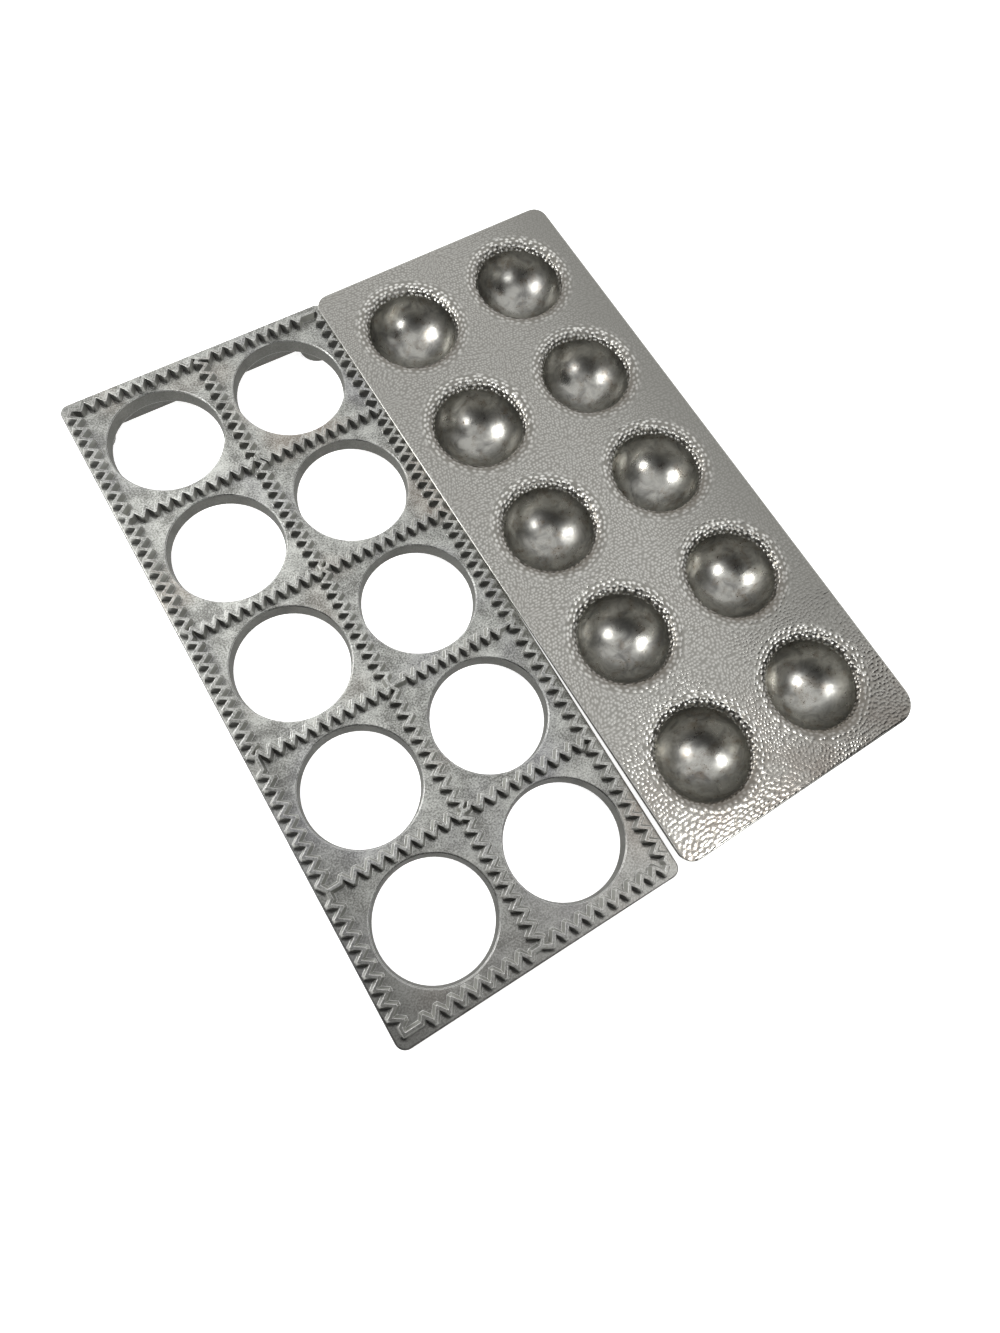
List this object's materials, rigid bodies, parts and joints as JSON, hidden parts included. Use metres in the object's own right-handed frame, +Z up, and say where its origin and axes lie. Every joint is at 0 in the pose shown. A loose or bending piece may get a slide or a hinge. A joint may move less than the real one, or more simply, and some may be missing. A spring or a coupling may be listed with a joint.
{
  "type": "ravioli mold",
  "caption": "Cast aluminium ravioli cutter frame with round holes and zigzag cutting ridges, beside its pressed plate of half-round cups",
  "frame": {"origin": "on the table, under the middle of the box of the pair as it stands, cutter frame on the left and press plate on the right", "axes": "+Z up; +Y along both pieces from their near ends to their far ends; +X across, from the cutter frame to the press plate"},
  "size_m": [0.2588, 0.3102, 0.0226],
  "materials": {
    "cast_aluminium": "satin, as cast and tumbled",
    "pressed_aluminium": "leather-grain flat with polished cups"
  },
  "bodies": {
    "cutter": {"cutter_frame": "cast_aluminium"},
    "press": {"press_plate": "pressed_aluminium"}
  },
  "joints": [
    {"name": "press_lift", "type": "slide", "parent": "cutter", "child": "press", "axis": [0, 0, 1], "range_m": [0, 0.12]}
  ]
}
